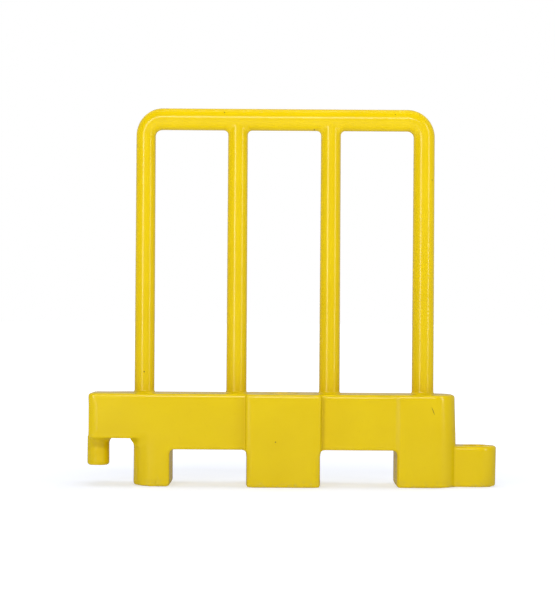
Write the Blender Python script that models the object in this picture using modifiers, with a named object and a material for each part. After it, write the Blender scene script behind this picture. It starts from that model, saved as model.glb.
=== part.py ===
"""A free-standing plastic crowd control barrier, 1 m high, that couples to its neighbours end to end.

Metres, +Z up, +X along the barrier towards its coupling socket, -Y towards the front.
The origin is on the ground, under the middle of the barrier.
"""

import math

import bmesh
import bpy
from mathutils import Matrix

# Driving dimensions
HEIGHT = 1.000
LENGTH = 1.0865
COUPLING_PITCH = 1.000
WALL = 0.005
GAP = 0.0003  # between members that meet
EDGE = 0.006  # rounding of the moulded edges

# Base blocks: where each one starts and ends along X, and half of its depth
BASE_TOP = 0.243
PANEL_UNDERSIDE = 0.097
ARM_UNDERSIDE = 0.125
ARM_END_X = -0.5375
LEFT_LEG_X = (-0.419, -0.321)
MIDDLE_LEG_X = (-0.117, 0.077)
RIGHT_LEG_X = (0.278, 0.4347)
ARM_HALF_DEPTH = 0.076
LEG_HALF_DEPTH = 0.083
LEFT_PANEL_HALF_DEPTH = 0.083
RIGHT_PANEL_HALF_DEPTH = 0.079
MIDDLE_HALF_DEPTH = 0.100
ARM_CORNER = 0.016
LEG_CORNER = 0.060
SHOULDER_HALF_DEPTH = 0.0815  # of the left leg where the arm runs into it

# Coupling
LEDGE_TOP = 0.108
LEDGE_RADIUS = 0.050  # of the ledge's round end, and half of its depth
SOCKET_INSET = 0.058  # from the ledge's far end to the socket's axis
SOCKET_RADIUS = 0.031
SLEEVE_WALL = 0.0045
PEG_RADIUS = 0.0285
PEG_BOTTOM = 0.050
PEG_EDGE = 0.008
SOCKET_X = LENGTH / 2 - SOCKET_INSET
PEG_X = SOCKET_X - COUPLING_PITCH

# Frame of tubes
UPRIGHT_PITCH = 0.2476
FRAME_CENTRE_X = -0.0197
FOOT_RADIUS = 0.02725
UPRIGHT_TOP_RADIUS = 0.0264
RAIL_RADIUS = 0.0275
BEND_RADIUS = 0.034
RAIL_Z = HEIGHT - RAIL_RADIUS
RAIL_STUB = 0.008  # straight stretch of the rail below each of its bends
RAIL_END_Z = RAIL_Z - BEND_RADIUS - RAIL_STUB
SADDLE_DROP = 0.006  # from the rail's centre line down to the highest point of an inner upright
CAVITY_HOLE_RADIUS = 0.018  # joins the hollow of an upright to the hollow of the base

# Screwed closures, each measured along its own axis from the surface that it is flush with
FILLER = {
    "insert_radius": 0.0400,
    "insert_depth": 0.036,
    "well_radius": 0.0355,
    "bore_radius": 0.0262,
    "head_radius": 0.0345,
    "head_thickness": 0.0060,
    "shank_radius": 0.0256,
    "shank_length": 0.0150,
    "seal_thickness": 0.0015,
    "grip_width": 0.0100,
    "grip_depth": 0.0042,
}
DRAIN = {
    "insert_radius": 0.0235,
    "insert_depth": 0.024,
    "well_radius": 0.0195,
    "bore_radius": 0.0132,
    "head_radius": 0.0187,
    "head_thickness": 0.0045,
    "shank_radius": 0.0126,
    "shank_length": 0.0100,
    "seal_thickness": 0.0015,
    "grip_width": 0.0055,
    "grip_depth": 0.0030,
}
DRAIN_Z = 0.031
CAP_WALL = 0.003
CAP_FLOOR = 0.001  # extra thickness of a cap's head over its hollow shank
SEAL_INSET = 0.0005  # how far a seal's edge stays inside its cap's head
SOCKET_LEAD_IN = 0.003

# Steps in which round shapes are drawn
HOLE_STEPS = 16
ROUND_STEPS = 32
FINE_ROUND_STEPS = 48
SADDLE_STEPS = 64
SMALL_ARC_STEPS = 4
ARC_STEPS = 8
OVERSHOOT = 0.020  # how far a cutter runs past what it cuts
CUTTER_REACH = 0.200  # half depth of a cutter that takes off a whole end

YELLOW = (0.78, 0.58, 0.012)
BLACK = (0.018, 0.018, 0.020)
RUBBER_GREY = (0.055, 0.055, 0.058)


def clear_scene():
    for obj in list(bpy.data.objects):
        bpy.data.objects.remove(obj, do_unlink=True)


def new_collection(name):
    collection = bpy.data.collections.new(name)
    bpy.context.scene.collection.children.link(collection)
    return collection


clear_scene()
BARRIER = new_collection("crowd_control_barrier")
CUTTERS = new_collection("cutters")


# ---------------------------------------------------------------- materials


def plastic(name, colour, roughness):
    material = bpy.data.materials.new(name)
    material.use_nodes = True
    shader = material.node_tree.nodes["Principled BSDF"]
    shader.inputs["Base Color"].default_value = (*colour, 1.0)
    shader.inputs["Roughness"].default_value = roughness
    shader.inputs["Metallic"].default_value = 0.0
    return material


def finish(obj, colour=YELLOW, roughness=0.38):
    """Gives a piece its own material and smooth shading on its round faces."""
    obj.data.materials.clear()
    obj.data.materials.append(plastic(obj.name + "_finish", colour, roughness))
    obj.data.shade_smooth()
    obj.data.set_sharp_from_angle(angle=math.radians(35))
    return obj


# ---------------------------------------------------------------- shape helpers


def link(obj, collection):
    collection.objects.link(obj)
    return obj


def as_cutter(obj):
    obj.hide_render = True
    obj.display_type = "WIRE"
    return obj


def arc(centre, radius, start_deg, end_deg, steps=ARC_STEPS):
    """Points along a circular arc in the XY plane, both ends included."""
    points = []
    for i in range(steps + 1):
        angle = math.radians(start_deg + (end_deg - start_deg) * i / steps)
        points.append((centre[0] + radius * math.cos(angle), centre[1] + radius * math.sin(angle)))
    return points


def prism(name, outline, low_z, high_z, collection):
    """A flat outline pulled up from low_z to high_z, as a closed mesh."""
    curve = bpy.data.curves.new(name + "_outline", "CURVE")
    curve.dimensions = "2D"
    curve.fill_mode = "BOTH"
    curve.extrude = (high_z - low_z) / 2
    spline = curve.splines.new("POLY")
    spline.points.add(len(outline) - 1)
    for point, (x, y) in zip(spline.points, outline):
        point.co = (x, y, 0.0, 1.0)
    spline.use_cyclic_u = True
    guide = link(bpy.data.objects.new(name + "_guide", curve), CUTTERS)
    guide.location.z = (low_z + high_z) / 2
    return converted(name, guide, collection)


def converted(name, guide, collection):
    """The mesh of a curve object, with its caps welded and its place applied. The curve is removed."""
    bpy.context.view_layer.update()
    evaluated = guide.evaluated_get(bpy.context.evaluated_depsgraph_get())
    mesh = bpy.data.meshes.new_from_object(evaluated)
    mesh.name = name
    mesh.transform(guide.matrix_world)
    body = bmesh.new()
    body.from_mesh(mesh)
    bmesh.ops.remove_doubles(body, verts=body.verts, dist=0.00001)
    bmesh.ops.recalc_face_normals(body, faces=body.faces)
    body.to_mesh(mesh)
    body.free()
    bpy.data.objects.remove(guide, do_unlink=True)
    return link(bpy.data.objects.new(name, mesh), collection)


def box(name, low, high, collection):
    mesh = bpy.data.meshes.new(name)
    body = bmesh.new()
    bmesh.ops.create_cube(body, size=1.0)
    size = [b - a for a, b in zip(low, high)]
    middle = [(a + b) / 2 for a, b in zip(low, high)]
    bmesh.ops.scale(body, verts=body.verts, vec=size)
    bmesh.ops.translate(body, verts=body.verts, vec=middle)
    body.to_mesh(mesh)
    body.free()
    return link(bpy.data.objects.new(name, mesh), collection)


def rod(name, radius, length, collection, steps=ROUND_STEPS):
    """A cylinder along Z, centred on its own origin."""
    mesh = bpy.data.meshes.new(name)
    body = bmesh.new()
    bmesh.ops.create_cone(
        body, cap_ends=True, segments=steps, radius1=radius, radius2=radius, depth=length
    )
    body.to_mesh(mesh)
    body.free()
    return link(bpy.data.objects.new(name, mesh), collection)


def turned(name, profile, closed, collection, steps=ROUND_STEPS):
    """A profile of (radius, height) points turned about Z by a Screw modifier."""
    mesh = bpy.data.meshes.new(name)
    body = bmesh.new()
    points = [body.verts.new((radius, 0.0, height)) for radius, height in profile]
    for first, second in zip(points, points[1:]):
        body.edges.new((first, second))
    if closed:
        body.edges.new((points[-1], points[0]))
    body.to_mesh(mesh)
    body.free()
    obj = link(bpy.data.objects.new(name, mesh), collection)
    screw = obj.modifiers.new("turn", "SCREW")
    screw.axis = "Z"
    screw.steps = steps
    screw.render_steps = steps
    screw.use_merge_vertices = True
    screw.merge_threshold = 0.00001
    return obj


def combine(obj, other, operation):
    step = obj.modifiers.new(operation.lower() + "_" + other.name, "BOOLEAN")
    step.operation = operation
    step.solver = "EXACT"
    step.object = other
    return obj


def cut(obj, cutter):
    return combine(obj, as_cutter(cutter), "DIFFERENCE")


def round_edges(obj, width=EDGE):
    bevel = obj.modifiers.new("moulded_edges", "BEVEL")
    bevel.width = width
    bevel.segments = 2
    bevel.limit_method = "ANGLE"
    bevel.angle_limit = math.radians(40)
    bevel.use_clamp_overlap = True
    return obj


def mirrored_outline(front_half):
    """Closes an outline from its front half, given from left to right with y below zero."""
    back_half = [(x, -y) for x, y in reversed(front_half)]
    return front_half + back_half


# ---------------------------------------------------------------- base


def rectangle(low_x, high_x, half_depth):
    return mirrored_outline([(low_x, -half_depth), (high_x, -half_depth)])


def arm_slope(x, inset=0.0):
    """Half depth of the arm at x: it widens evenly from its end to the left leg's shoulder."""
    share = (x - ARM_END_X) / (LEFT_LEG_X[0] - ARM_END_X)
    return ARM_HALF_DEPTH + share * (SHOULDER_HALF_DEPTH - ARM_HALF_DEPTH) - inset


def arm_outline(inset, right_x):
    left_x = ARM_END_X + inset
    corner = ARM_CORNER - inset
    centre = (left_x + corner, corner - arm_slope(left_x + corner, inset))
    end_corner = arc(centre, corner, 180, 270, steps=SMALL_ARC_STEPS)
    return mirrored_outline(end_corner + [(right_x, -arm_slope(right_x, inset))])


def left_leg_foot_outline(inset, right_x):
    centre = (LEFT_LEG_X[0] + LEG_CORNER, LEG_CORNER - LEG_HALF_DEPTH)
    corner = arc(centre, LEG_CORNER - inset, 180, 270)
    return mirrored_outline(corner + [(right_x, inset - LEG_HALF_DEPTH)])


def left_leg_shoulder_outline(inset, left_x, right_x):
    """The upper stretch of the left leg, whose front runs on from the arm in one soft curve."""
    flat_x = LEFT_LEG_X[0] + LEG_CORNER
    front = [
        (left_x, -arm_slope(left_x, inset)),
        (flat_x, inset - LEG_HALF_DEPTH),
        (right_x, inset - LEG_HALF_DEPTH),
    ]
    return mirrored_outline(front)


def right_leg_outline(inset, left_x):
    """The right leg from left_x to its far end, whose corners are as wide as the left leg's."""
    centre = (RIGHT_LEG_X[1] - LEG_CORNER, LEG_CORNER - LEG_HALF_DEPTH)
    corner = arc(centre, LEG_CORNER - inset, -90, 0)
    return mirrored_outline([(left_x, inset - LEG_HALF_DEPTH)] + corner)


def ledge_outline(inset, near_x):
    """The ledge from near_x, inside the right leg, to its own round end."""
    radius = LEDGE_RADIUS - inset
    far = arc((LENGTH / 2 - LEDGE_RADIUS, 0.0), radius, -90, 90, steps=4 * ARC_STEPS)
    return [(near_x, -radius)] + far + [(near_x, radius)]


def upright_x(index):
    return FRAME_CENTRE_X + (index - 1.5) * UPRIGHT_PITCH


def open_to_upright(obj, index):
    hole = rod(f"{obj.name}_foot_hole", CAVITY_HOLE_RADIUS, 4 * WALL, CUTTERS, steps=HOLE_STEPS)
    hole.location = (upright_x(index), 0.0, BASE_TOP)
    return cut(obj, hole)


def cut_end(obj, low_x, high_x):
    """Takes off everything between low_x and high_x."""
    low = (low_x, -CUTTER_REACH, 0.0)
    high = (high_x, CUTTER_REACH, HEIGHT)
    return cut(obj, box(f"{obj.name}_trim_{round(high_x * 1000)}", low, high, CUTTERS))


def open_sideways(obj, low_x, high_x, low_z, half_depth):
    """Cuts the mouth through which a member's hollow joins its neighbour's."""
    low = (low_x, WALL - half_depth, low_z + WALL)
    high = (high_x, half_depth - WALL, BASE_TOP - WALL)
    return cut(obj, box(f"{obj.name}_mouth_{round(high_x * 1000)}", low, high, CUTTERS))


def make_arm():
    right_x = LEFT_LEG_X[0] - GAP
    outline = arm_outline(0.0, right_x + OVERSHOOT)
    arm = prism("left_overhang_arm", outline, ARM_UNDERSIDE, BASE_TOP, BARRIER)
    round_edges(arm)
    cut_end(arm, right_x, right_x + 2 * OVERSHOOT)
    hollow = prism(
        "arm_hollow",
        arm_outline(WALL, right_x + OVERSHOOT),
        ARM_UNDERSIDE + WALL,
        BASE_TOP - WALL,
        CUTTERS,
    )
    cut(arm, hollow)
    peg_hole = rod("arm_peg_hole", PEG_RADIUS - WALL, 4 * WALL, CUTTERS)
    peg_hole.location = (PEG_X, 0.0, ARM_UNDERSIDE)
    cut(arm, peg_hole)
    return finish(arm)


def make_left_leg():
    low_x, high_x = LEFT_LEG_X
    leg = prism("left_leg", left_leg_foot_outline(0.0, high_x), 0.0, BASE_TOP, BARRIER)
    shoulder = prism(
        "left_leg_shoulder",
        left_leg_shoulder_outline(0.0, low_x, high_x),
        ARM_UNDERSIDE,
        BASE_TOP,
        CUTTERS,
    )
    combine(leg, as_cutter(shoulder), "UNION")
    round_edges(leg)
    foot_hollow = prism(
        "left_leg_hollow",
        left_leg_foot_outline(WALL, high_x - WALL),
        WALL,
        BASE_TOP - WALL,
        CUTTERS,
    )
    cut(leg, foot_hollow)
    shoulder_hollow = prism(
        "left_leg_shoulder_hollow",
        left_leg_shoulder_outline(WALL, low_x - OVERSHOOT, high_x - WALL),
        ARM_UNDERSIDE + WALL,
        BASE_TOP - WALL,
        CUTTERS,
    )
    cut(leg, shoulder_hollow)
    open_sideways(
        leg, high_x - 2 * WALL, high_x + OVERSHOOT, PANEL_UNDERSIDE, LEFT_PANEL_HALF_DEPTH
    )
    open_to_upright(leg, 0)
    return finish(leg)


def make_panel(name, low_x, high_x, half_depth, upright):
    """A raised stretch of the base between two legs, open at both ends to their hollows."""
    low_x += GAP
    high_x -= GAP
    outline = rectangle(low_x - OVERSHOOT, high_x + OVERSHOOT, half_depth)
    panel = prism(name, outline, PANEL_UNDERSIDE, BASE_TOP, BARRIER)
    round_edges(panel)
    cut_end(panel, low_x - 2 * OVERSHOOT, low_x)
    cut_end(panel, high_x, high_x + 2 * OVERSHOOT)
    open_sideways(panel, low_x - OVERSHOOT, high_x + OVERSHOOT, PANEL_UNDERSIDE, half_depth)
    open_to_upright(panel, upright)
    return finish(panel)


def make_middle_leg():
    low_x, high_x = MIDDLE_LEG_X
    leg = box(
        "middle_leg",
        (low_x, -MIDDLE_HALF_DEPTH, 0.0),
        (high_x, MIDDLE_HALF_DEPTH, BASE_TOP),
        BARRIER,
    )
    round_edges(leg)
    hollow = box(
        "middle_leg_hollow",
        (low_x + WALL, WALL - MIDDLE_HALF_DEPTH, WALL),
        (high_x - WALL, MIDDLE_HALF_DEPTH - WALL, BASE_TOP - WALL),
        CUTTERS,
    )
    cut(leg, hollow)
    for start, end, half_depth in (
        (low_x - OVERSHOOT, low_x + 2 * WALL, LEFT_PANEL_HALF_DEPTH),
        (high_x - 2 * WALL, high_x + OVERSHOOT, RIGHT_PANEL_HALF_DEPTH),
    ):
        open_sideways(leg, start, end, PANEL_UNDERSIDE, half_depth)
    for closure, frame in (("filler", FILLER), ("drain", DRAIN)):
        radius = frame["insert_radius"] + GAP
        seat = rod(f"{closure}_seat", radius, 6 * WALL, CUTTERS, steps=FINE_ROUND_STEPS)
        seat.matrix_world = closure_place(closure)
        cut(leg, seat)
    return finish(leg)


def make_right_leg():
    leg = prism("right_leg", right_leg_outline(0.0, RIGHT_LEG_X[0]), 0.0, BASE_TOP, BARRIER)
    round_edges(leg)
    hollow = prism(
        "right_leg_hollow",
        right_leg_outline(WALL, RIGHT_LEG_X[0] + WALL),
        WALL,
        BASE_TOP - WALL,
        CUTTERS,
    )
    cut(leg, hollow)
    open_sideways(
        leg,
        RIGHT_LEG_X[0] - OVERSHOOT,
        RIGHT_LEG_X[0] + 2 * WALL,
        PANEL_UNDERSIDE,
        RIGHT_PANEL_HALF_DEPTH,
    )
    open_to_upright(leg, 3)
    mouth = box(
        "right_leg_ledge_mouth",
        (RIGHT_LEG_X[1] - LEG_CORNER, 2 * WALL - LEDGE_RADIUS, 2 * WALL),
        (RIGHT_LEG_X[1] + OVERSHOOT, LEDGE_RADIUS - 2 * WALL, LEDGE_TOP - 2 * WALL),
        CUTTERS,
    )
    cut(leg, mouth)
    return finish(leg)


def make_ledge():
    near_x = RIGHT_LEG_X[1] - 2 * OVERSHOOT
    ledge = prism("socket_ledge", ledge_outline(0.0, near_x), 0.0, LEDGE_TOP, BARRIER)
    round_edges(ledge)
    hollow_outline = ledge_outline(WALL, near_x + WALL)
    hollow = prism("ledge_hollow", hollow_outline, WALL, LEDGE_TOP - WALL, CUTTERS)
    cut(ledge, hollow)
    bore_radius = SOCKET_RADIUS + SLEEVE_WALL + GAP
    bore_length = LEDGE_TOP + 2 * OVERSHOOT
    bore = rod("ledge_bore", bore_radius, bore_length, CUTTERS, steps=FINE_ROUND_STEPS)
    bore.location = (SOCKET_X, 0.0, LEDGE_TOP / 2)
    cut(ledge, bore)
    scoop_outline = right_leg_outline(-GAP, RIGHT_LEG_X[0])
    cut(ledge, prism("ledge_scoop", scoop_outline, -OVERSHOOT, HEIGHT, CUTTERS))
    return finish(ledge)


# ---------------------------------------------------------------- coupling


def make_sleeve():
    outer = SOCKET_RADIUS + SLEEVE_WALL
    profile = [
        (outer, LEDGE_TOP),
        (outer, 0.0),
        (SOCKET_RADIUS, 0.0),
        (SOCKET_RADIUS, LEDGE_TOP - SOCKET_LEAD_IN),
        (SOCKET_RADIUS + SOCKET_LEAD_IN, LEDGE_TOP),
    ]
    sleeve = turned("socket_sleeve", profile, True, BARRIER, steps=FINE_ROUND_STEPS)
    sleeve.location = (SOCKET_X, 0.0, 0.0)
    return finish(sleeve)


def make_peg():
    """A hollow peg, open at its top into the arm, with a round-edged closed end."""
    length = ARM_UNDERSIDE - GAP - PEG_BOTTOM
    inner = PEG_RADIUS - WALL
    rounding = arc((PEG_RADIUS - PEG_EDGE, PEG_EDGE), PEG_EDGE, 0, -90, steps=SMALL_ARC_STEPS)
    profile = [(0.0, WALL), (inner, WALL), (inner, length), (PEG_RADIUS, length)]
    profile += rounding
    profile.append((0.0, 0.0))
    peg = turned("coupling_peg", profile, False, BARRIER)
    peg.location = (PEG_X, 0.0, PEG_BOTTOM)
    return finish(peg)


# ---------------------------------------------------------------- frame of tubes


def tube_profile(low_radius, high_radius, low_z, high_z):
    return [
        (high_radius, high_z),
        (low_radius, low_z),
        (low_radius - WALL, low_z),
        (high_radius - WALL, high_z),
    ]


def make_outer_upright(name, index):
    profile = tube_profile(FOOT_RADIUS, RAIL_RADIUS, BASE_TOP + GAP, RAIL_END_Z - GAP)
    upright = turned(name, profile, True, BARRIER)
    upright.location.x = upright_x(index)
    return finish(upright)


def make_inner_upright(name, index):
    """An upright whose top is scooped out to fit under the rail."""
    profile = tube_profile(FOOT_RADIUS, UPRIGHT_TOP_RADIUS, BASE_TOP + GAP, RAIL_Z - SADDLE_DROP)
    upright = turned(name, profile, True, BARRIER)
    upright.location.x = upright_x(index)
    length = UPRIGHT_PITCH / 2
    scoop = rod(f"{name}_scoop", RAIL_RADIUS + GAP, length, CUTTERS, steps=SADDLE_STEPS)
    scoop.rotation_euler.y = math.pi / 2
    scoop.location = (upright_x(index), 0.0, RAIL_Z)
    cut(upright, scoop)
    return finish(upright)


def rail_route():
    """Centre line of the rail in XZ: up from an outer upright, round a bend, along and down again."""
    left, right = upright_x(0), upright_x(3)
    bend_z = RAIL_Z - BEND_RADIUS
    route = [(left, RAIL_END_Z)]
    route += arc((left + BEND_RADIUS, bend_z), BEND_RADIUS, 180, 90)
    route += arc((right - BEND_RADIUS, bend_z), BEND_RADIUS, 90, 0)
    route.append((right, RAIL_END_Z))
    return route


def make_rail():
    curve = bpy.data.curves.new("top_rail_line", "CURVE")
    curve.dimensions = "3D"
    curve.bevel_depth = RAIL_RADIUS
    curve.bevel_resolution = 10
    spline = curve.splines.new("POLY")
    route = rail_route()
    spline.points.add(len(route) - 1)
    for point, (x, z) in zip(spline.points, route):
        point.co = (x, 0.0, z, 1.0)
    rail = converted("top_rail", link(bpy.data.objects.new("rail_guide", curve), CUTTERS), BARRIER)
    wall = rail.modifiers.new("wall", "SOLIDIFY")
    wall.thickness = WALL
    wall.offset = -1.0
    return finish(rail)


# ---------------------------------------------------------------- screwed closures


def closure_place(closure):
    """Where a closure's axis leaves the surface that it is flush with."""
    if closure == "filler":
        return Matrix.Translation((FRAME_CENTRE_X, 0.0, BASE_TOP))
    turn = Matrix.Rotation(math.radians(-90), 4, "X")
    return Matrix.Translation((FRAME_CENTRE_X, MIDDLE_HALF_DEPTH, DRAIN_Z)) @ turn


def make_insert(closure, frame):
    """A ring moulded into the wall, with a well for the closure's head and a bore for its shank."""
    well_depth = frame["head_thickness"] + frame["seal_thickness"] + 3 * GAP
    profile = [
        (frame["insert_radius"], -GAP),
        (frame["insert_radius"], -frame["insert_depth"]),
        (frame["bore_radius"], -frame["insert_depth"]),
        (frame["bore_radius"], -well_depth),
        (frame["well_radius"], -well_depth),
        (frame["well_radius"], -GAP),
    ]
    insert = turned(f"{closure}_insert", profile, True, BARRIER, steps=FINE_ROUND_STEPS)
    insert.matrix_world = closure_place(closure)
    return finish(insert)


def make_seal(closure, frame):
    top = -frame["head_thickness"] - 2 * GAP
    bottom = top - frame["seal_thickness"]
    outer = frame["head_radius"] - SEAL_INSET
    inner = frame["shank_radius"] + GAP
    profile = [(outer, top), (outer, bottom), (inner, bottom), (inner, top)]
    seal = turned(f"{closure}_seal", profile, True, BARRIER, steps=FINE_ROUND_STEPS)
    seal.matrix_world = closure_place(closure)
    return finish(seal, RUBBER_GREY, 0.7)


def make_cap(name, closure, frame, colour):
    """A flush head with two finger pockets either side of a grip bar, and a hollow shank."""
    top = -GAP
    head_bottom = top - frame["head_thickness"]
    shank_end = head_bottom - frame["shank_length"]
    hollow = frame["shank_radius"] - CAP_WALL
    profile = [
        (0.0, head_bottom - CAP_FLOOR),
        (hollow, head_bottom - CAP_FLOOR),
        (hollow, shank_end),
        (frame["shank_radius"], shank_end),
        (frame["shank_radius"], head_bottom),
        (frame["head_radius"], head_bottom),
        (frame["head_radius"], top),
        (0.0, top),
    ]
    profile.reverse()
    cap = turned(name, profile, False, BARRIER, steps=FINE_ROUND_STEPS)
    cap.matrix_world = closure_place(closure)
    well = rod(f"{name}_grip_well", hollow, 2 * frame["grip_depth"], CUTTERS)
    bar_half = frame["grip_width"] / 2
    reach = frame["head_radius"]
    bar = box(
        f"{name}_grip_bar",
        (-reach, -bar_half, -reach),
        (reach, bar_half, reach),
        CUTTERS,
    )
    combine(well, as_cutter(bar), "DIFFERENCE")
    for obj in (well, bar):
        obj.matrix_world = closure_place(closure)
    cut(cap, well)
    return finish(cap, colour, 0.42)


def make_closures():
    for closure, frame in (("filler", FILLER), ("drain", DRAIN)):
        make_insert(closure, frame)
        make_seal(closure, frame)
    make_cap("filler_cap", "filler", FILLER, YELLOW)
    make_cap("drain_plug", "drain", DRAIN, BLACK)


def main():
    make_arm()
    make_left_leg()
    make_panel("left_bridge_panel", LEFT_LEG_X[1], MIDDLE_LEG_X[0], LEFT_PANEL_HALF_DEPTH, 1)
    make_middle_leg()
    make_panel(
        "right_bridge_panel", MIDDLE_LEG_X[1], RIGHT_LEG_X[0], RIGHT_PANEL_HALF_DEPTH, 2
    )
    make_right_leg()
    make_ledge()
    make_sleeve()
    make_peg()
    make_outer_upright("left_outer_upright", 0)
    make_inner_upright("left_inner_upright", 1)
    make_inner_upright("right_inner_upright", 2)
    make_outer_upright("right_outer_upright", 3)
    make_rail()
    make_closures()


main()
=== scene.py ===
"""Looks for the yellow plastic crowd control barrier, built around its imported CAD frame.

Metres, +Z up, +X along the barrier towards its coupling socket, -Y towards the front.
The barrier is one hollow moulding with rounded edges, so its skin is worked out as a whole:
each closed form is roughed out from plain solids, fused by a Remesh modifier, and then
drawn onto a surface that a distance formula gives, with every edge and crease at its own radius.
"""

import math

import bmesh
import bpy
import numpy as np
from mathutils import Matrix, Vector


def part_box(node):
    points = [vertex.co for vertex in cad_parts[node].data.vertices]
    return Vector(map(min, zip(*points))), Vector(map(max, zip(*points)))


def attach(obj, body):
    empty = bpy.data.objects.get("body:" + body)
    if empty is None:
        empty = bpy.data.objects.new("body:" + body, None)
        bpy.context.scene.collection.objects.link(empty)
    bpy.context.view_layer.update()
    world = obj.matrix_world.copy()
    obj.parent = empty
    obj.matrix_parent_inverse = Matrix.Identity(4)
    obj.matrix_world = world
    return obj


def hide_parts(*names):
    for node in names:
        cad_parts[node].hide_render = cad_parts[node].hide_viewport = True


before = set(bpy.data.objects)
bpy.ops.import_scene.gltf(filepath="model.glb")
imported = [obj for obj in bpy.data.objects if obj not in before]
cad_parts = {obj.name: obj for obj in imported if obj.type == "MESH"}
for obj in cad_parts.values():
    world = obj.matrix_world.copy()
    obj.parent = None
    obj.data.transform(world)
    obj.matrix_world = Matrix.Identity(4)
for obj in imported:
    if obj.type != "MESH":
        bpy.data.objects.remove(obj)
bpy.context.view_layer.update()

# ---------------------------------------------------------------- sizes, from the frame

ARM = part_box("left_overhang_arm")
LEFT_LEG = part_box("left_leg")
MIDDLE_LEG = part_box("middle_leg")
RIGHT_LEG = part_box("right_leg")
LEFT_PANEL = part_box("left_bridge_panel")
RIGHT_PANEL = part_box("right_bridge_panel")
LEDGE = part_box("socket_ledge")
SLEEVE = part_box("socket_sleeve")
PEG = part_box("coupling_peg")
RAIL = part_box("top_rail")
UPRIGHTS = [
    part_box(name)
    for name in ("left_outer_upright", "left_inner_upright", "right_inner_upright", "right_outer_upright")
]
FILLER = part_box("filler_insert")
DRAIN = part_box("drain_insert")

BASE_TOP = RIGHT_LEG[1].z
EDGE = 0.0075  # rounding of the base's long edges
CREASE = 0.003  # fillet in the base's inner corners
PANEL_FILLET = 0.011  # where the panels' undersides run into the legs
ARM_FILLET = 0.016  # where the arm's underside runs into the left leg
ARM_CORNER = 0.016  # of the arm's end, in plan
ARM_NARROWER = 0.0055  # how much shallower the arm's front is at its far end than in the frame
ARM_TUCK = 0.0045  # how far the arm's end stands back from where it is in the frame
LEFT_LEG_SHIFT = 0.003  # how far both sides of the left leg stand towards +X of the frame
LEG_CORNER = 0.060  # round corners of the two outer legs, in plan
LEG_REACH = 0.200  # keeps the rounding of a leg's hidden side out of the way
FOOT_SPREAD = 0.0002  # keeps the cut under the arm clear of the left leg's front
RUN_OVERLAP = 0.060  # how far the left run reaches into the middle leg
PANEL_OVERLAP = 0.040  # how far the right panel reaches into the legs beside it
MIDDLE_LEG_SPREAD = 0.0018  # how much wider the middle leg is on each side than in the frame
MIDDLE_LEG_DRAFT = 0.0012  # how much each side of the middle leg draws in at its foot
RIGHT_END_LEAN = 0.0035  # how much further out the right leg's end is at the ledge than at its top
LEDGE_LEAN = 0.002  # how much further out the ledge's end is at its top than at the floor
LEDGE_RADIUS = (LEDGE[1].y - LEDGE[0].y) / 2
END_DRIFT = 0.003  # how far both ends of the coupling stand towards +X of where they are in the frame
LEDGE_END = LEDGE[1].x + END_DRIFT
SOCKET_X = (SLEEVE[0].x + SLEEVE[1].x) / 2 + END_DRIFT
SLEEVE_WALL = 0.0045
SOCKET_RADIUS = (SLEEVE[1].x - SLEEVE[0].x) / 2 - SLEEVE_WALL
SOCKET_RIM = 0.003  # rounding of the socket's mouths
PEG_SWELL = 0.0007  # how much thicker the peg is than in the frame
PEG_RADIUS = (PEG[1].x - PEG[0].x) / 2 + PEG_SWELL
PEG_X = (PEG[0].x + PEG[1].x) / 2 + END_DRIFT
PEG_EDGE = 0.008  # rounding of the peg's end
PEG_SINK = 0.004  # how far the peg's top reaches into the arm
PEG_FILLET = (0.004, 0.017)  # at the arm's end, and on the side of the left leg
PEG_FILLET_TURN = (-0.9, 0.3)  # where the one passes into the other, in radii from the peg's axis
ROUGH_PEG_SINK = 0.010

RAIL_SWELL = 0.0013  # how much thicker the rail is than in the frame
RAIL_DROP = 0.0005  # how much lower its top is
RAIL_RADIUS = (RAIL[1].y - RAIL[0].y) / 2 + RAIL_SWELL
RAIL_Z = RAIL[1].z - RAIL_RADIUS - RAIL_DROP
BEND_RADIUS = 0.0450  # of the rail's bends, along the middle of the tube
BEND_Z = RAIL_Z - BEND_RADIUS
FOOT_FILLET = 0.008  # where the uprights stand on the base
TEE_FILLET = 0.012  # where the inner uprights meet the rail
TEE_FADE = 0.02  # share of that fillet left at the front and back of a tube
TUBE_SINK = 0.060  # how far the tubes reach down into the base
ROUGH_TUBE_SINK = 0.030
UPRIGHT_DRIFT = (0.0008, -0.0022, -0.0024, -0.0018)  # the tubes aren't quite evenly spaced
UPRIGHT_X = [(box[0].x + box[1].x) / 2 + drift for box, drift in zip(UPRIGHTS, UPRIGHT_DRIFT)]
FOOT_RADIUS = (0.0263, 0.0269, 0.0274, 0.0288)  # of each upright at the base
HEAD_RADIUS = (0.0256, 0.0262, 0.0264, 0.0280)  # and at the rail

FILLER_AXIS = ((FILLER[0] + FILLER[1]) / 2).xy
DRAIN_AXIS = (DRAIN[0] + DRAIN[1]) / 2

# The pockets in the moulding that the closures' rings sit in
FILLER_WELL_RADIUS = 0.0375
DRAIN_WELL_RADIUS = 0.0212
WELL_SPARE = 0.006  # how much deeper than the ring each pocket is
WELL_EDGE = 0.002  # rounding of their mouths
WELL_CUT = 0.060
SOCKET_CUT = 0.020  # how far the cutter of the socket runs past the ledge, above and below

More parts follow.
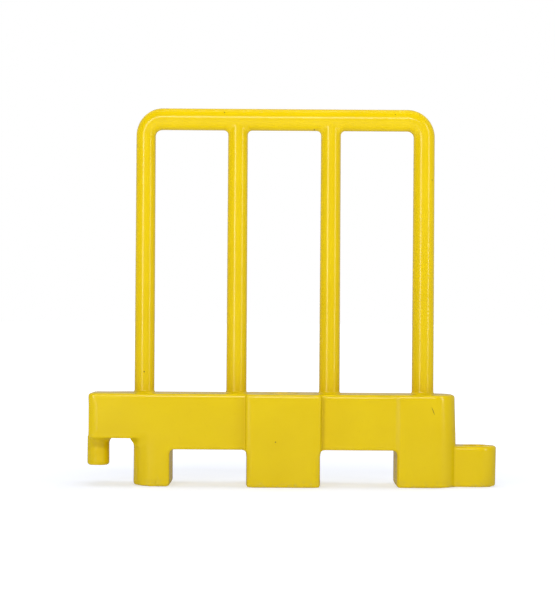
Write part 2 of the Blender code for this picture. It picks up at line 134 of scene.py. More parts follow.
# The screwed closures, measured from the surface that each is flush with
FLANGE_RISE = 0.0008
FLANGE_THICKNESS = 0.0030
THREAD_PLAY = 0.0011  # all round, between a thread and the one it turns in
THREAD_RUN_IN = 0.0015  # length over which a thread rises to its full height
THREAD_SLOPE = 0.9  # takes off what a thread's flank adds to the slope of its distance
CROWN = 0.001  # how much thicker a cap's head is over its hollow shank
FINE_EDGE = 0.0006
CUTTER_REACH = 0.050  # how far a cutter runs past the far side of what it cuts
CUTTER_RISE = 0.010  # how far a cutter stands out of the surface it goes into
CLOSURES = {
    "filler": {
        "cap": "filler_cap",
        "flange_radius": 0.0432,
        "body_radius": 0.0398,
        "body_depth": 0.036,
        "well_radius": 0.0355,
        "well_depth": 0.0087,
        "head_radius": 0.0345,
        "head_bottom": 0.0059,
        "thread_root": 0.0246,
        "thread_start": 0.0090,
        "thread_height": 0.0009,
        "thread_pitch": 0.0040,
        "shank_end": 0.0213,
        "shank_hollow": 0.0215,
        "pocket_radius": 0.0226,
        "pocket_depth": 0.0042,
        "grip_half": 0.0050,
        "grid": 0.0009,
    },
    "drain": {
        "cap": "drain_plug",
        "flange_radius": 0.0248,
        "body_radius": 0.0233,
        "body_depth": 0.024,
        "well_radius": 0.0195,
        "well_depth": 0.0071,
        "head_radius": 0.0187,
        "head_bottom": 0.0045,
        "thread_root": 0.0118,
        "thread_start": 0.0074,
        "thread_height": 0.0007,
        "thread_pitch": 0.0030,
        "shank_end": 0.0148,
        "shank_hollow": 0.0090,
        "pocket_radius": 0.0096,
        "pocket_depth": 0.0030,
        "grip_half": 0.00275,
        "grid": 0.0006,
    },
}

SKIN_GRID = 0.0028
SKIN_SIMPLIFY = 0.03  # merges faces where the skin is nearly flat

# The dark marks on the moulding: centre and half size of each
SCRATCH = ((0.3715, -0.083, 0.2022), (0.0011, 0.030, 0.0125))
SCRATCH_TILT = 22.0
FLECK_DEPTH = 0.030
FLECKS = (
    ((-0.0405, -0.100, 0.1194), 0.0022),
    ((-0.1814, -0.025, 0.9868), 0.0020),
    ((0.2711, -0.025, 0.9840), 0.0018),
    ((0.0570, -0.020, 0.9440), 0.0020),
    ((0.3706, -0.020, 0.8120), 0.0018),
    ((-0.3895, -0.027, 0.2990), 0.0024),
)

CAMERA_PLACE = (-0.0374, -4.7, 0.433)
CAMERA_ROLL = -0.38
CAMERA_LENS = 106.8
CAMERA_RISE = 0.041
FLOOR_SIZE = 400.0
FLOOR_GAP = 0.0002


# ---------------------------------------------------------------- distance formulas
# Each takes points as an array of rows and gives their distances, below zero inside.


def trimmed(a, b, radius):
    """What lies in both a and b, with the edge between them rounded."""
    beyond = np.hypot(np.maximum(radius + a, 0), np.maximum(radius + b, 0))
    return np.minimum(-radius, np.maximum(a, b)) + beyond


def joined(a, b, fillet):
    """What lies in a or b, with a fillet in the crease between them."""
    within = np.hypot(np.maximum(fillet - a, 0), np.maximum(fillet - b, 0))
    return np.maximum(fillet, np.minimum(a, b)) - within


def carved(a, hollow, radius):
    """What is left of a once the hollow is taken out, with the mouth's edge rounded."""
    return trimmed(a, -hollow, radius)


def plan_box(x, y, low_x, high_x, half_depth, corner):
    """A rectangle in plan whose corners are rounded."""
    across = np.abs(x - (low_x + high_x) / 2) - (high_x - low_x) / 2 + corner
    deep = np.abs(y) - half_depth + corner
    outside = np.hypot(np.maximum(across, 0), np.maximum(deep, 0))
    return outside + np.minimum(np.maximum(across, deep), 0) - corner


def ramp(value, start, end):
    """0 before start, 1 after end and a soft rise between."""
    share = np.clip((value - start) / (end - start), 0, 1)
    return share * share * (3 - 2 * share)


def left_run(x, y):
    """The arm, the left leg's shoulder and the left panel, whose front is one soft curve in plan."""
    arm_half = ARM[1].y - ARM_NARROWER
    leg_half = LEFT_LEG[1].y
    half_depth = arm_half + (leg_half - arm_half) * ramp(x, ARM[0].x, LEFT_LEG[0].x + LEG_CORNER)
    return plan_box(x, y, ARM[0].x + ARM_TUCK, MIDDLE_LEG[0].x + RUN_OVERLAP, half_depth, ARM_CORNER)


def middle_leg(x, y, z):
    draft = MIDDLE_LEG_DRAFT * (1 - z / BASE_TOP) - MIDDLE_LEG_SPREAD
    half_depth = MIDDLE_LEG[1].y
    return plan_box(x, y, MIDDLE_LEG[0].x + draft, MIDDLE_LEG[1].x - draft, half_depth, EDGE)


def right_run(x, y, z):
    """The right panel and the right leg, whose far end has wide corners and leans out downwards."""
    lean = RIGHT_END_LEAN * (ramp(BASE_TOP - z, 0.0, BASE_TOP - LEDGE[1].z) - 0.5)
    leg_half = RIGHT_LEG[1].y
    leg_end = plan_box(x, y, RIGHT_LEG[0].x - LEG_REACH, RIGHT_LEG[1].x + lean, leg_half, LEG_CORNER)
    leg = trimmed(leg_end, RIGHT_LEG[0].x - x, EDGE)
    panel_left = MIDDLE_LEG[1].x - PANEL_OVERLAP
    panel_right = RIGHT_LEG[0].x + PANEL_OVERLAP
    panel = plan_box(x, y, panel_left, panel_right, RIGHT_PANEL[1].y, EDGE)
    return joined(leg, panel, CREASE)


def window(x, z, left_leg, right_leg, top):
    """The gap under a panel, between two legs, with rounded upper corners."""
    across = np.abs(x - (left_leg + right_leg) / 2) - (right_leg - left_leg) / 2
    return trimmed(across, z - top, PANEL_FILLET)


def under_arm(x, y, z):
    """The gap under the arm, left of the left leg, whose foot has widely rounded corners."""
    foot_x = LEFT_LEG[0].x + LEFT_LEG_SHIFT
    foot = plan_box(x, y, foot_x, foot_x + 2 * LEG_REACH, LEFT_LEG[1].y + FOOT_SPREAD, LEG_CORNER)
    beside = np.maximum(-foot, x - foot_x - LEG_CORNER)
    return trimmed(beside, z - ARM[0].z, ARM_FILLET)


def ledge(x, y, z):
    reach = LEDGE_END - LEDGE_RADIUS - LEDGE_LEAN * (1 - z / LEDGE[1].z)
    along = np.clip(x, RIGHT_LEG[1].x - LEG_CORNER, reach)
    return trimmed(np.hypot(x - along, y) - LEDGE_RADIUS, z - LEDGE[1].z, EDGE)


def base(points):
    """The whole base with its peg, ledge and socket."""
    x, y, z = points.T
    plan = joined(left_run(x, y), middle_leg(x, y, z), CREASE)
    plan = joined(plan, right_run(x, y, z), CREASE)
    body = trimmed(plan, z - BASE_TOP, EDGE)
    body = carved(body, window(x, z, LEFT_LEG[1].x + LEFT_LEG_SHIFT, MIDDLE_LEG[0].x, LEFT_PANEL[0].z), EDGE)
    body = carved(body, window(x, z, MIDDLE_LEG[1].x, RIGHT_LEG[0].x, RIGHT_PANEL[0].z), EDGE)
    body = carved(body, under_arm(x, y, z), EDGE)
    body = joined(body, ledge(x, y, z), CREASE)
    peg_side = np.hypot(x - PEG_X, y) - PEG_RADIUS
    peg = trimmed(trimmed(peg_side, PEG[0].z - z, PEG_EDGE), z - ARM[0].z - PEG_SINK, CREASE)
    inward = ramp((x - PEG_X) / PEG_RADIUS, *PEG_FILLET_TURN)
    body = joined(body, peg, PEG_FILLET[0] + (PEG_FILLET[1] - PEG_FILLET[0]) * inward)
    body = trimmed(body, -z, EDGE)
    return carved(body, np.hypot(x - SOCKET_X, y) - SOCKET_RADIUS, SOCKET_RIM)


def tube_frame(points):
    """The hoop of tube and the two uprights that run up into it."""
    x, y, z = points.T
    middle_x = (UPRIGHT_X[0] + UPRIGHT_X[3]) / 2
    half_span = (UPRIGHT_X[3] - UPRIGHT_X[0]) / 2
    beside = np.abs(x - middle_x) - half_span
    above = z - RAIL_Z
    corner_x = np.maximum(beside + BEND_RADIUS, 0)
    corner_z = np.maximum(z - BEND_Z, 0)
    on_bend = (corner_x > 0) & (corner_z > 0)
    inside_span = (corner_x == 0) & (corner_z == 0)
    from_line = np.where(corner_z > 0, above, beside)
    from_line = np.where(on_bend, np.hypot(corner_x, corner_z) - BEND_RADIUS, from_line)
    from_line = np.where(inside_span, np.maximum(beside, above), from_line)
    rise = np.clip((z - BASE_TOP) / (BEND_Z - BASE_TOP), 0, 1)
    left_side = FOOT_RADIUS[0] + (HEAD_RADIUS[0] - FOOT_RADIUS[0]) * rise
    right_side = FOOT_RADIUS[3] + (HEAD_RADIUS[3] - FOOT_RADIUS[3]) * rise
    side = np.where(x < middle_x, left_side, right_side)
    round_bend = np.arctan2(corner_z, np.maximum(corner_x, 1e-9)) / (math.pi / 2)
    under_rail = inside_span & (beside <= above)
    swell = ramp(np.where(under_rail, 1.0, round_bend), 0.0, 1.0)
    hoop = np.hypot(from_line, y) - (side + (RAIL_RADIUS - side) * swell)
    for i in (1, 2):
        radius = FOOT_RADIUS[i] + (HEAD_RADIUS[i] - FOOT_RADIUS[i]) * rise
        upright = np.maximum(np.hypot(x - UPRIGHT_X[i], y) - radius, above)
        fade = np.clip(1 - (y / RAIL_RADIUS) ** 2, TEE_FADE, 1)
        hoop = joined(hoop, upright, TEE_FILLET * fade)
    return hoop


def moulding(points):
    """The barrier in one: base and tubes, and the wells that its two closures sit in."""
    x, y, z = points.T
    tubes = np.maximum(tube_frame(points), BASE_TOP - TUBE_SINK - z)
    whole = joined(base(points), tubes, FOOT_FILLET)
    filler_well = np.hypot(x - FILLER_AXIS.x, y - FILLER_AXIS.y) - FILLER_WELL_RADIUS
    filler_well = np.maximum(filler_well, np.abs(z - BASE_TOP) - (BASE_TOP - FILLER[0].z) - WELL_SPARE)
    whole = carved(whole, filler_well, WELL_EDGE)
    drain_well = np.hypot(x - DRAIN_AXIS.x, z - DRAIN_AXIS.z) - DRAIN_WELL_RADIUS
    return carved(whole, np.maximum(drain_well, DRAIN[0].y - WELL_SPARE - y), WELL_EDGE)


def closure_axes(closure, points):
    """Distance from a closure's axis, height out of its surface, offset across its grip, and angle."""
    x, y, z = points.T
    if closure == "filler":
        along, across, out = x - FILLER_AXIS.x, y - FILLER_AXIS.y, z - BASE_TOP
    else:
        along, across, out = x - DRAIN_AXIS.x, DRAIN_AXIS.z - z, y - MIDDLE_LEG[1].y
    return np.hypot(along, across), out, across, np.arctan2(across, along)


def threaded(size, out, angle, play):
    """Radius of a thread's flank at a height and an angle."""
    turns = out / size["thread_pitch"] - angle / (2 * math.pi)
    crest = 0.5 + 0.5 * np.cos(2 * math.pi * turns)
    crest = crest * ramp(-out, size["thread_start"], size["thread_start"] + THREAD_RUN_IN)
    return size["thread_root"] + play + size["thread_height"] * crest


def between(value, low, high):
    """Distance of a value from the stretch between two others."""
    return np.abs(value - (low + high) / 2) - (high - low) / 2


def collar(closure):
    """The ring moulded into the wall: a thin flange, a well for the cap's head and a threaded bore."""
    size = CLOSURES[closure]

    def distance(points):
        radius, out, _, angle = closure_axes(closure, points)
        flange_ends = between(out, FLANGE_RISE - FLANGE_THICKNESS, FLANGE_RISE)
        flange = trimmed(radius - size["flange_radius"], flange_ends, FINE_EDGE)
        body = np.maximum(radius - size["body_radius"], between(out, -size["body_depth"], 0.0))
        ring = np.minimum(flange, body)
        well = np.maximum(radius - size["well_radius"], -size["well_depth"] - out)
        ring = carved(ring, well, FINE_EDGE)
        bore = THREAD_SLOPE * (radius - threaded(size, out, angle, THREAD_PLAY))
        return carved(ring, bore, 0.0004)

    return distance


def cap(closure):
    """A flush head with two finger pockets beside a grip bar, over a hollow threaded shank."""
    size = CLOSURES[closure]

    def distance(points):
        radius, out, across, angle = closure_axes(closure, points)
        head_ends = between(out, -size["head_bottom"], 0.0)
        head = trimmed(radius - size["head_radius"], head_ends, 0.0009)
        flank = THREAD_SLOPE * (radius - threaded(size, out, angle, 0.0))
        shank = np.maximum(flank, np.maximum(-size["shank_end"] - out, out))
        whole = np.minimum(head, shank)
        hollow = np.maximum(radius - size["shank_hollow"], out + size["head_bottom"] + CROWN)
        whole = carved(whole, hollow, FINE_EDGE)
        pocket = trimmed(radius - size["pocket_radius"], size["grip_half"] - np.abs(across), 0.0012)
        pocket = trimmed(pocket, -size["pocket_depth"] - out, 0.0008)
        return carved(whole, pocket, FINE_EDGE)

    return distance


# ---------------------------------------------------------------- modelling


def new_object(name, body):
    mesh = bpy.data.meshes.new(name)
    body.to_mesh(mesh)
    body.free()
    obj = bpy.data.objects.new(name, mesh)
    bpy.context.scene.collection.objects.link(obj)
    return obj


def add_box(body, low, high):
    made = bmesh.ops.create_cube(body, size=1.0)["verts"]
    bmesh.ops.scale(body, verts=made, vec=Vector(high) - Vector(low))
    bmesh.ops.translate(body, verts=made, vec=(Vector(high) + Vector(low)) / 2)


def add_rod(body, foot, axis, length, radius, steps=48):
    """A cylinder from foot along axis."""
    made = bmesh.ops.create_cone(
        body, cap_ends=True, segments=steps, radius1=radius, radius2=radius, depth=length
    )["verts"]
    turn = Vector(axis).to_track_quat("Z", "Y").to_matrix().to_4x4()
    place = Matrix.Translation(Vector(foot) + Vector(axis) * length / 2) @ turn
    bmesh.ops.transform(body, matrix=place, verts=made)


def applied(obj):
    """Applies all of an object's modifiers to its mesh."""
    bpy.context.view_layer.update()
    evaluated = obj.evaluated_get(bpy.context.evaluated_depsgraph_get())
    mesh = bpy.data.meshes.new_from_object(evaluated)
    obj.modifiers.clear()
    old = obj.data
    obj.data = mesh
    bpy.data.meshes.remove(old)
    return obj


def slope(distance, points, step=0.00005):
    """The direction in which the distance grows, and how fast."""
    columns = []
    for axis in np.eye(3) * step:
        columns.append((distance(points + axis) - distance(points - axis)) / (2 * step))
    return np.stack(columns, axis=1)


def draw_onto(obj, distance, passes=6, reach=0.004):
    """Moves an object's vertices onto the surface where the distance is zero and gives them its normals."""
    mesh = obj.data
    count = len(mesh.vertices)
    flat = np.empty(count * 3, np.float32)
    mesh.vertices.foreach_get("co", flat)
    points = flat.reshape(-1, 3).astype(float)
    for _ in range(passes):
        grade = slope(distance, points)
        steep = np.maximum((grade * grade).sum(axis=1), 0.1)
        move = grade * (distance(points) / steep)[:, None]
        length = np.maximum(np.linalg.norm(move, axis=1), 1e-9)
        points -= move * np.minimum(1, reach / length)[:, None]
    mesh.vertices.foreach_set("co", points.astype(np.float32).ravel())
    mesh.update()
    grade = slope(distance, points)
    normals = grade / np.maximum(np.linalg.norm(grade, axis=1), 1e-9)[:, None]
    mesh.shade_smooth()
    mesh.normals_split_custom_set_from_vertices(normals.astype(np.float32))
    return obj


def fused(obj, grid, simplify=0.0):
    remesh = obj.modifiers.new("fuse", "REMESH")
    remesh.mode = "VOXEL"
    remesh.voxel_size = grid
    remesh.adaptivity = simplify
    return applied(obj)


def without(obj, cutter):
    step = obj.modifiers.new("cut", "BOOLEAN")
    step.operation = "DIFFERENCE"
    step.solver = "EXACT"
    step.object = cutter
    applied(obj)
    bpy.data.objects.remove(cutter)
    return obj


# ---------------------------------------------------------------- pieces


def rough_moulding():
    """Plain solids that together fill the moulding's shape closely enough to be drawn onto it."""
    body = bmesh.new()
    for low, high in (ARM, LEFT_PANEL, RIGHT_PANEL, LEFT_LEG, MIDDLE_LEG):
        add_box(body, low - Vector((0.002, 0, 0)), high + Vector((0.002, 0, 0)))
    corner_x = RIGHT_LEG[1].x - LEG_CORNER
    corner_y = RIGHT_LEG[1].y - LEG_CORNER
    add_box(body, RIGHT_LEG[0], (corner_x, RIGHT_LEG[1].y, BASE_TOP))
    add_box(body, (corner_x, -corner_y, 0), (RIGHT_LEG[1].x, corner_y, BASE_TOP))
    for side in (-1, 1):
        add_rod(body, (corner_x, side * corner_y, 0), (0, 0, 1), BASE_TOP, LEG_CORNER, 96)
    ledge_centre = LEDGE_END - LEDGE_RADIUS
    add_box(body, (corner_x, -LEDGE_RADIUS, 0), (ledge_centre, LEDGE_RADIUS, LEDGE[1].z))
    add_rod(body, (ledge_centre, 0, 0), (0, 0, 1), LEDGE[1].z, LEDGE_RADIUS, 96)
    add_rod(body, (PEG_X, 0, PEG[0].z), (0, 0, 1), ARM[0].z - PEG[0].z + ROUGH_PEG_SINK, PEG_RADIUS, 64)
    for i, x in enumerate(UPRIGHT_X):
        top = BEND_Z if i in (0, 3) else RAIL_Z
        length = top - BASE_TOP + ROUGH_TUBE_SINK
        add_rod(body, (x, 0, BASE_TOP - ROUGH_TUBE_SINK), (0, 0, 1), length, FOOT_RADIUS[i])
    span = UPRIGHT_X[3] - UPRIGHT_X[0] - 2 * BEND_RADIUS
    add_rod(body, (UPRIGHT_X[0] + BEND_RADIUS, 0, RAIL_Z), (1, 0, 0), span, RAIL_RADIUS)
    for centre_x, start in ((UPRIGHT_X[0] + BEND_RADIUS, -1), (UPRIGHT_X[3] - BEND_RADIUS, 1)):
        ring = bmesh.ops.create_circle(body, segments=48, radius=RAIL_RADIUS)["verts"]
        bmesh.ops.translate(body, verts=ring, vec=(centre_x + start * BEND_RADIUS, 0, BEND_Z))
        edges = list({edge for vert in ring for edge in vert.link_edges})
        caps = bmesh.ops.contextual_create(body, geom=edges)["faces"]
        bmesh.ops.spin(
            body,
            geom=caps,
            cent=(centre_x, 0, BEND_Z),
            axis=(0, 1, 0),
            angle=-start * math.pi / 2,
            steps=12,
            use_duplicate=False,
        )
    bmesh.ops.recalc_face_normals(body, faces=body.faces)
    return new_object("moulded_body", body)


def hole_cutter():
    """The socket hole and the two pockets for the closures' rings."""
    body = bmesh.new()
    add_rod(body, (SOCKET_X, 0, -SOCKET_CUT), (0, 0, 1), LEDGE[1].z + 2 * SOCKET_CUT, SOCKET_RADIUS, 64)
    filler_foot = (FILLER_AXIS.x, 0, FILLER[0].z - WELL_SPARE)
    add_rod(body, filler_foot, (0, 0, 1), WELL_CUT, FILLER_WELL_RADIUS, 64)
    drain_foot = (DRAIN_AXIS.x, DRAIN[0].y - WELL_SPARE, DRAIN_AXIS.z)
    add_rod(body, drain_foot, (0, 1, 0), CUTTER_REACH, DRAIN_WELL_RADIUS, 64)
    return new_object("holes", body)


def make_moulding():
    rough = fused(rough_moulding(), SKIN_GRID)
    rough = without(rough, hole_cutter())
    rough = fused(rough, SKIN_GRID, SKIN_SIMPLIFY)
    body = draw_onto(rough, moulding)
    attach(body, "barrier")
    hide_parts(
        "left_overhang_arm",
        "left_leg",
        "left_bridge_panel",
        "middle_leg",
        "right_bridge_panel",
        "right_leg",
        "socket_ledge",
        "socket_sleeve",
        "coupling_peg",
        "left_outer_upright",
        "left_inner_upright",
        "right_inner_upright",
        "right_outer_upright",
        "top_rail",
    )
    return body


def closure_mouth(closure):
    """Where a closure's axis meets the surface that it is flush with, and the axis's direction."""
    if closure == "filler":
        return Vector((FILLER_AXIS.x, FILLER_AXIS.y, BASE_TOP)), Vector((0, 0, 1))
    return Vector((DRAIN_AXIS.x, MIDDLE_LEG[1].y, DRAIN_AXIS.z)), Vector((0, 1, 0))


def add_ring(body, closure, radius, low, high):
    """A cylinder on a closure's axis from one height out of its surface to another."""
    mouth, outward = closure_mouth(closure)
    add_rod(body, mouth + outward * low, outward, high - low, radius, 96)


def make_collar(closure):
    size = CLOSURES[closure]
    body = bmesh.new()
    add_ring(body, closure, size["flange_radius"], FLANGE_RISE - FLANGE_THICKNESS, FLANGE_RISE)
    add_ring(body, closure, size["body_radius"], -size["body_depth"], 0.0)
    rough = fused(new_object(f"{closure}_collar", body), size["grid"])
    cutter = bmesh.new()
    add_ring(cutter, closure, size["well_radius"], -size["well_depth"], CUTTER_RISE)
    rough = without(rough, new_object("well", cutter))
    cutter = bmesh.new()
    bore_radius = size["thread_root"] + THREAD_PLAY + size["thread_height"] / 2
    add_ring(cutter, closure, bore_radius, -CUTTER_REACH, CUTTER_RISE)
    rough = without(rough, new_object("bore", cutter))
    ring = draw_onto(fused(rough, size["grid"], SKIN_SIMPLIFY), collar(closure), reach=size["grid"])
    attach(ring, "barrier")
    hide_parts(f"{closure}_insert")
    return ring


def make_cap(closure):
    """The screwed cap or plug, whose grip bar is left standing between two pockets."""
    size = CLOSURES[closure]
    mouth, _ = closure_mouth(closure)
    across = 1 if closure == "filler" else 2
    body = bmesh.new()
    add_ring(body, closure, size["head_radius"], -size["head_bottom"], 0.0)
    add_ring(body, closure, size["thread_root"] + size["thread_height"] / 2, -size["shank_end"], -0.001)
    rough = fused(new_object(f"{size['cap']}_looks", body), size["grid"])
    cutter = bmesh.new()
    crown_bottom = -size["head_bottom"] - CROWN
    add_ring(cutter, closure, size["shank_hollow"], -CUTTER_REACH, crown_bottom)
    rough = without(rough, new_object("hollow", cutter))
    for side in (-1, 1):
        cutter = bmesh.new()
        add_ring(cutter, closure, size["pocket_radius"], -size["pocket_depth"], CUTTER_RISE)
        pocket = new_object("pocket", cutter)
        bar = bmesh.new()
        low = -CUTTER_REACH * Vector((1, 1, 1))
        high = CUTTER_REACH * Vector((1, 1, 1))
        if side < 0:
            low[across] = -size["grip_half"]
        else:
            high[across] = size["grip_half"]
        add_box(bar, mouth + low, mouth + high)
        rough = without(rough, without(pocket, new_object("bar", bar)))
    head = draw_onto(fused(rough, size["grid"], SKIN_SIMPLIFY), cap(closure), reach=size["grid"])
    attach(head, size["cap"])
    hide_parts(size["cap"])
    return head


# ---------------------------------------------------------------- materials


def new_material(name):
    material = bpy.data.materials.new(name)
    material.use_nodes = True
    tree = material.node_tree
    shader = tree.nodes["Principled BSDF"]
    place = tree.nodes.new("ShaderNodeTexCoord").outputs["Object"]
    return material, tree, shader, place


def noise(tree, place, scale, detail=2.0, roughness=0.5):
    node = tree.nodes.new("ShaderNodeTexNoise")
    node.inputs["Scale"].default_value = scale
    node.inputs["Detail"].default_value = detail
    node.inputs["Roughness"].default_value = roughness
    tree.links.new(place, node.inputs["Vector"])
    return node.outputs["Fac"]


def remapped(tree, value, from_low, from_high, to_low, to_high):
    node = tree.nodes.new("ShaderNodeMapRange")
    tree.links.new(value, node.inputs["Value"])
    for name, number in (
        ("From Min", from_low),
        ("From Max", from_high),
        ("To Min", to_low),
        ("To Max", to_high),
    ):
        node.inputs[name].default_value = number
    return node.outputs["Result"]


def mixed(tree, share, first, second):
    """Between two colours, each a constant or a socket."""
    node = tree.nodes.new("ShaderNodeMix")
    node.data_type = "RGBA"
    tree.links.new(share, node.inputs["Factor"])
    for colour, socket in ((first, node.inputs[6]), (second, node.inputs[7])):
        if isinstance(colour, tuple):
            socket.default_value = (*colour, 1.0)
        else:
            tree.links.new(colour, socket)
    return node.outputs[2]


def computed(tree, operation, first, second):
    """One Math node on two sockets."""
    node = tree.nodes.new("ShaderNodeMath")
    node.operation = operation
    tree.links.new(first, node.inputs[0])
    tree.links.new(second, node.inputs[1])
    return node.outputs[0]


def product(tree, first, second):
    return computed(tree, "MULTIPLY", first, second)


def mark(tree, place, centre, size, tilt_deg=0.0):
    """1 inside a small ellipsoid about a point, fading to 0 at its edge; tilt turns it about Y."""
    moved = tree.nodes.new("ShaderNodeVectorMath")
    moved.operation = "SUBTRACT"
    tree.links.new(place, moved.inputs[0])
    moved.inputs[1].default_value = centre
    turned = tree.nodes.new("ShaderNodeVectorRotate")
    turned.rotation_type = "Y_AXIS"
    turned.inputs["Angle"].default_value = math.radians(tilt_deg)
    tree.links.new(moved.outputs[0], turned.inputs["Vector"])
    scaled = tree.nodes.new("ShaderNodeVectorMath")
    scaled.operation = "DIVIDE"
    tree.links.new(turned.outputs[0], scaled.inputs[0])
    scaled.inputs[1].default_value = size
    reach = tree.nodes.new("ShaderNodeVectorMath")
    reach.operation = "LENGTH"
    tree.links.new(scaled.outputs[0], reach.inputs[0])
    return remapped(tree, reach.outputs["Value"], 0.6, 1.0, 1.0, 0.0)


def marks(tree, place):
    """The handling scratch, the pit and the dark flecks that show on the moulding, as one mask."""
    mask = mark(tree, place, SCRATCH[0], SCRATCH[1], SCRATCH_TILT)
    for centre, radius in FLECKS:
        mask = computed(tree, "MAXIMUM", mask, mark(tree, place, centre, (radius, FLECK_DEPTH, radius)))
    return mask


def bumped(tree, height, distance, under=None):
    node = tree.nodes.new("ShaderNodeBump")
    node.inputs["Distance"].default_value = distance
    tree.links.new(height, node.inputs["Height"])
    if under is not None:
        tree.links.new(under, node.inputs["Normal"])
    return node.outputs["Normal"]


def moulded_yellow():
    material, tree, shader, place = new_material("moulded_yellow")
    mottle = noise(tree, place, 9.0, 3.0)
    shade = remapped(tree, mottle, 0.3, 0.7, 0.0, 1.0)
    colour = mixed(tree, shade, (0.715, 0.505, 0.0006), (0.750, 0.540, 0.0010))
    fine = remapped(tree, noise(tree, place, 160.0, 2.0), 0.62, 0.75, 0.0, 0.35)
    colour = mixed(tree, fine, colour, (0.66, 0.45, 0.0008))
    scuffs = scuffed(tree, place)
    colour = mixed(tree, scuffs, colour, (0.42, 0.34, 0.08))
    flecks = marks(tree, place)
    colour = mixed(tree, flecks, colour, (0.20, 0.12, 0.01))
    tree.links.new(colour, shader.inputs["Base Color"])
    rough = remapped(tree, noise(tree, place, 25.0, 3.0), 0.3, 0.7, 0.20, 0.25)
    rough = computed(tree, "ADD", rough, product(tree, scuffs, scuffs))
    tree.links.new(rough, shader.inputs["Roughness"])
    shader.inputs["IOR"].default_value = 1.5
    shader.inputs["Specular IOR Level"].default_value = 0.36
    ripple = bumped(tree, noise(tree, place, 14.0, 1.0), 0.0008)
    skin = bumped(tree, noise(tree, place, 420.0, 2.0), 0.00004, under=ripple)
    tree.links.new(skin, shader.inputs["Normal"])
    return material


def scuffed(tree, place):
    """Faint grey scuffs on the lowest few centimetres, where the feet are dragged over the ground."""
    parts = tree.nodes.new("ShaderNodeSeparateXYZ")
    tree.links.new(place, parts.inputs[0])
    low_down = remapped(tree, parts.outputs["Z"], 0.0, 0.022, 0.55, 0.0)
    patches = remapped(tree, noise(tree, place, 70.0, 4.0, 0.7), 0.45, 0.7, 0.0, 1.0)
    return product(tree, low_down, patches)


def plain_plastic(name, colour, roughness, grain):
    material, tree, shader, place = new_material(name)
    shade = remapped(tree, noise(tree, place, 60.0, 3.0), 0.3, 0.7, 0.0, 1.0)
    lighter = tuple(min(1.0, 1.15 * c) for c in colour)
    darker = tuple(0.85 * c for c in colour)
    tree.links.new(mixed(tree, shade, darker, lighter), shader.inputs["Base Color"])
    rough = remapped(tree, noise(tree, place, 150.0), 0.3, 0.7, roughness - 0.05, roughness + 0.05)
    tree.links.new(rough, shader.inputs["Roughness"])
    tree.links.new(bumped(tree, noise(tree, place, grain), 0.00005), shader.inputs["Normal"])
    return material


def paint(obj, material):
    obj.data.materials.clear()
    obj.data.materials.append(material)


# ---------------------------------------------------------------- setting


def make_camera():
    camera = bpy.data.cameras.new("camera")
    camera.sensor_width = 36.0
    camera.lens = CAMERA_LENS
    camera.shift_y = CAMERA_RISE
    camera.clip_end = 1000.0
    camera.dof.use_dof = False
    holder = bpy.data.objects.new("camera", camera)
    bpy.context.scene.collection.objects.link(holder)
    holder.location = CAMERA_PLACE
    holder.rotation_euler = (math.radians(90), math.radians(CAMERA_ROLL), 0.0)
    bpy.context.scene.camera = holder


def softbox(name, position, target, size, power):
    light = bpy.data.lights.new(name, "AREA")
    light.shape = "RECTANGLE"
    light.size, light.size_y = size
    light.energy = power
    holder = bpy.data.objects.new(name, light)
    bpy.context.scene.collection.objects.link(holder)
    holder.location = position
    holder.rotation_euler = (Vector(target) - Vector(position)).to_track_quat("-Z", "Y").to_euler()
    return holder


def make_lights():
    softbox("left_softbox", (-1.73, -2.85, 1.2), (0, 0, 0.8), (0.38, 2.0), 32.0)
    softbox("right_softbox", (1.9, -1.25, 1.2), (0, 0, 0.8), (0.26, 2.0), 13.0)
    softbox("front_softbox", (-0.2, -3.6, 2.35), (0, 0, 0.8), (2.6, 0.26), 54.0)
    overhead = softbox("overhead_softbox", (0, 0.3, 4.5), (0, 0, 0), (2.4, 1.6), 108.0)
    overhead.visible_glossy = False


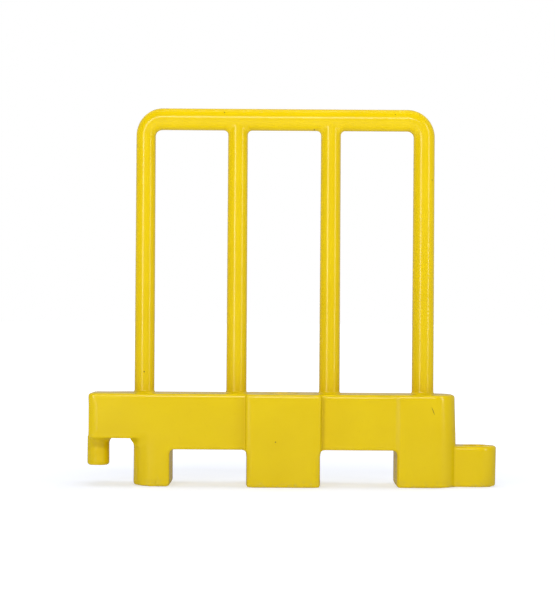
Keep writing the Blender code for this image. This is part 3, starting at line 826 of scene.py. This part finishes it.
def make_world():
    """A white studio: bright behind the barrier, dimmer on the side of the camera."""
    world = bpy.data.worlds.new("studio")
    world.use_nodes = True
    bpy.context.scene.world = world
    tree = world.node_tree
    background = tree.nodes["Background"]
    direction = tree.nodes.new("ShaderNodeTexCoord").outputs["Generated"]
    parts = tree.nodes.new("ShaderNodeSeparateXYZ")
    tree.links.new(direction, parts.inputs[0])
    strength = remapped(tree, parts.outputs["Y"], -0.4, 0.5, 0.06, 0.40)
    seen = tree.nodes.new("ShaderNodeLightPath").outputs["Is Camera Ray"]
    tree.links.new(computed(tree, "MAXIMUM", strength, seen), background.inputs["Strength"])
    background.inputs["Color"].default_value = (1.0, 1.0, 1.0, 1.0)


def make_floor():
    """A pale floor that glows with distance until it melts into the backdrop."""
    body = bmesh.new()
    bmesh.ops.create_grid(body, x_segments=1, y_segments=1, size=FLOOR_SIZE)
    bmesh.ops.translate(body, verts=body.verts, vec=(0, 0, -FLOOR_GAP))
    floor = new_object("studio_floor", body)
    material, tree, shader, place = new_material("floor_white")
    shader.inputs["Roughness"].default_value = 0.7
    shader.inputs["Emission Color"].default_value = (1.0, 1.0, 1.0, 1.0)
    away = tree.nodes.new("ShaderNodeVectorMath")
    away.operation = "LENGTH"
    tree.links.new(place, away.inputs[0])
    glow = remapped(tree, away.outputs["Value"], 0.6, 2.2, 0.56, 1.0)
    seen = tree.nodes.new("ShaderNodeLightPath").outputs["Is Camera Ray"]
    share = remapped(tree, seen, 0.0, 1.0, 0.85, 1.0)
    # Painted reflection: to glossy rays the floor is a dim grey with little glow, so the moulding reflects
    # it darker than the floor looks
    glossy = tree.nodes.new("ShaderNodeLightPath").outputs["Is Glossy Ray"]
    ground = mixed(tree, glossy, (0.43, 0.462, 0.55), (0.20, 0.21, 0.22))
    tree.links.new(ground, shader.inputs["Base Color"])
    dimmed = remapped(tree, glossy, 0.0, 1.0, 1.0, 0.12)
    tree.links.new(product(tree, product(tree, glow, share), dimmed), shader.inputs["Emission Strength"])
    paint(floor, material)


def main():
    bpy.context.scene.view_settings.view_transform = "Standard"
    make_camera()
    make_lights()
    make_world()
    make_floor()
    yellow = moulded_yellow()
    paint(make_moulding(), yellow)
    rubber = plain_plastic("seal_rubber", (0.055, 0.055, 0.058), 0.65, 900.0)
    black = plain_plastic("plug_black", (0.018, 0.018, 0.020), 0.42, 700.0)
    cap_yellow = plain_plastic("closure_yellow", (0.72, 0.52, 0.0015), 0.34, 500.0)
    for closure, finish in (("filler", cap_yellow), ("drain", black)):
        paint(make_collar(closure), yellow)
        paint(make_cap(closure), finish)
        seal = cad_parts[f"{closure}_seal"]
        paint(seal, rubber)


main()
